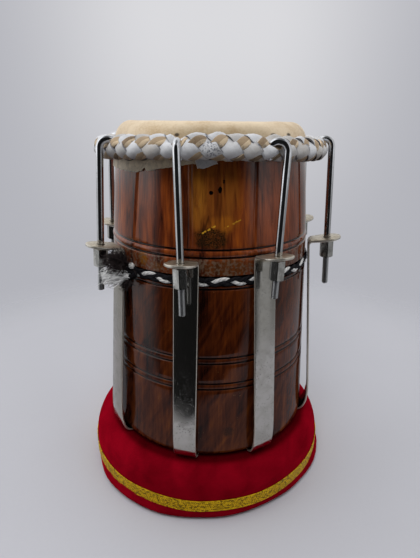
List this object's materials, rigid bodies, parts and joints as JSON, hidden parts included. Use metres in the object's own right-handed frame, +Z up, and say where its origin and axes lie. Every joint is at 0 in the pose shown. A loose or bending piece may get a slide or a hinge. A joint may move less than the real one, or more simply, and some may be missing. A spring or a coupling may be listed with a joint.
{
  "type": "dayan",
  "caption": "Bolt-tuned dayan drum: turned wooden shell, skin head with black paste, plaited rim, steel hooks, nuts and straps, braided cord, on a red velvet ring cushion.",
  "frame": {"origin": "on the floor under the axis of the drum, in the middle of the cushion's underside", "axes": "+Z up along the drum's axis, -Y towards the viewer of the picture, +X to that viewer's right"},
  "size_m": [0.2278, 0.2278, 0.3119],
  "materials": {
    "velvet": "deep red pile",
    "gold": "woven metallic braid",
    "wood": "gloss varnish",
    "hide": "matte",
    "cream": "matte",
    "paste": "hard black paste",
    "plait": "worn",
    "rod": "polished",
    "nut": "dull zinc",
    "strap": "plated, satin",
    "screw": "plain",
    "braid": "braided yarn",
    "black_yarn": "frayed yarn",
    "white_yarn": "frayed yarn"
  },
  "bodies": {
    "cushion": {"ring_cushion": "velvet", "gold_band": "gold"},
    "drum": {"shell": "wood", "lining_skin": "hide", "main_skin": "cream", "black_paste": "paste", "rim_skin": "hide", "plaited_rim": "plait", "strap_1": "strap", "strap_2": "strap", "strap_3": "strap", "strap_4": "strap", "strap_5": "strap", "strap_6": "strap", "strap_7": "strap", "strap_8": "strap", "screw_1": "screw", "screw_2": "screw", "screw_3": "screw", "screw_4": "screw", "screw_5": "screw", "screw_6": "screw", "screw_7": "screw", "screw_8": "screw", "waist_cord": "braid", "cord_knot": "braid", "black_tuft": "black_yarn", "white_tuft": "white_yarn"},
    "nut_1": {"nut_1": "nut"},
    "hook_1": {"hook_1": "rod"},
    "nut_2": {"nut_2": "nut"},
    "hook_2": {"hook_2": "rod"},
    "nut_3": {"nut_3": "nut"},
    "hook_3": {"hook_3": "rod"},
    "nut_4": {"nut_4": "nut"},
    "hook_4": {"hook_4": "rod"},
    "nut_5": {"nut_5": "nut"},
    "hook_5": {"hook_5": "rod"},
    "nut_6": {"nut_6": "nut"},
    "hook_6": {"hook_6": "rod"},
    "nut_7": {"nut_7": "nut"},
    "hook_7": {"hook_7": "rod"},
    "nut_8": {"nut_8": "nut"},
    "hook_8": {"hook_8": "rod"}
  },
  "joints": [
    {"name": "drum_lift", "type": "slide", "parent": "cushion", "child": "drum", "axis": [0, 0, 1], "range_m": [0, 0.12]},
    {"name": "nut_turn_1", "type": "hinge", "parent": "drum", "child": "nut_1", "pos_m": [-0.01955, -0.10057, 0.2204], "axis": [0.0243, -0.058, -0.998], "range_deg": [0, 3420]},
    {"name": "hook_rise_1", "type": "slide", "parent": "drum", "child": "hook_1", "axis": [-0.0243, 0.058, 0.998], "range_m": [0, 0.00949]},
    {"name": "nut_turn_2", "type": "hinge", "parent": "drum", "child": "nut_2", "pos_m": [0.04803, -0.09033, 0.2232], "axis": [-0.0371, -0.0788, -0.9962], "range_deg": [0, 3420]},
    {"name": "hook_rise_2", "type": "slide", "parent": "drum", "child": "hook_2", "axis": [0.0371, 0.0788, 0.9962], "range_m": [0, 0.00949]},
    {"name": "nut_turn_3", "type": "hinge", "parent": "drum", "child": "nut_3", "pos_m": [0.10027, -0.02131, 0.2194], "axis": [0.0494, -0.0194, -0.9986], "range_deg": [0, 3420]},
    {"name": "hook_rise_3", "type": "slide", "parent": "drum", "child": "hook_3", "axis": [-0.0494, 0.0194, 0.9986], "range_m": [0, 0.00949]},
    {"name": "nut_turn_4", "type": "hinge", "parent": "drum", "child": "nut_4", "pos_m": [0.09204, 0.04489, 0.2214], "axis": [0.0547, 0.0073, -0.9985], "range_deg": [0, 3420]},
    {"name": "hook_rise_4", "type": "slide", "parent": "drum", "child": "hook_4", "axis": [-0.0547, -0.0073, 0.9985], "range_m": [0, 0.00949]},
    {"name": "nut_turn_5", "type": "hinge", "parent": "drum", "child": "nut_5", "pos_m": [0.03504, 0.09628, 0.2204], "axis": [-0.0149, 0.0611, -0.998], "range_deg": [0, 3420]},
    {"name": "hook_rise_5", "type": "slide", "parent": "drum", "child": "hook_5", "axis": [0.0149, -0.0611, 0.998], "range_m": [0, 0.00949]},
    {"name": "nut_turn_6", "type": "hinge", "parent": "drum", "child": "nut_6", "pos_m": [-0.04327, 0.09278, 0.2219], "axis": [0.0016, 0.0585, -0.9983], "range_deg": [0, 3420]},
    {"name": "hook_rise_6", "type": "slide", "parent": "drum", "child": "hook_6", "axis": [-0.0016, -0.0585, 0.9983], "range_m": [0, 0.00949]},
    {"name": "nut_turn_7", "type": "hinge", "parent": "drum", "child": "nut_7", "pos_m": [-0.09577, 0.03676, 0.2179], "axis": [-0.0489, 0.0188, -0.9986], "range_deg": [0, 3420]},
    {"name": "hook_rise_7", "type": "slide", "parent": "drum", "child": "hook_7", "axis": [0.0489, -0.0188, 0.9986], "range_m": [0, 0.00949]},
    {"name": "nut_turn_8", "type": "hinge", "parent": "drum", "child": "nut_8", "pos_m": [-0.08388, -0.05874, 0.2214], "axis": [-0.0728, 0.0129, -0.9973], "range_deg": [0, 3420]},
    {"name": "hook_rise_8", "type": "slide", "parent": "drum", "child": "hook_8", "axis": [0.0728, -0.0129, 0.9973], "range_m": [0, 0.00949]}
  ],
  "couplings": [
    {"joint": "nut_turn_1", "follows": "hook_rise_1", "rad_per_m": 6283.2},
    {"joint": "nut_turn_2", "follows": "hook_rise_2", "rad_per_m": 6283.2},
    {"joint": "nut_turn_3", "follows": "hook_rise_3", "rad_per_m": 6283.2},
    {"joint": "nut_turn_4", "follows": "hook_rise_4", "rad_per_m": 6283.2},
    {"joint": "nut_turn_5", "follows": "hook_rise_5", "rad_per_m": 6283.2},
    {"joint": "nut_turn_6", "follows": "hook_rise_6", "rad_per_m": 6283.2},
    {"joint": "nut_turn_7", "follows": "hook_rise_7", "rad_per_m": 6283.2},
    {"joint": "nut_turn_8", "follows": "hook_rise_8", "rad_per_m": 6283.2}
  ]
}
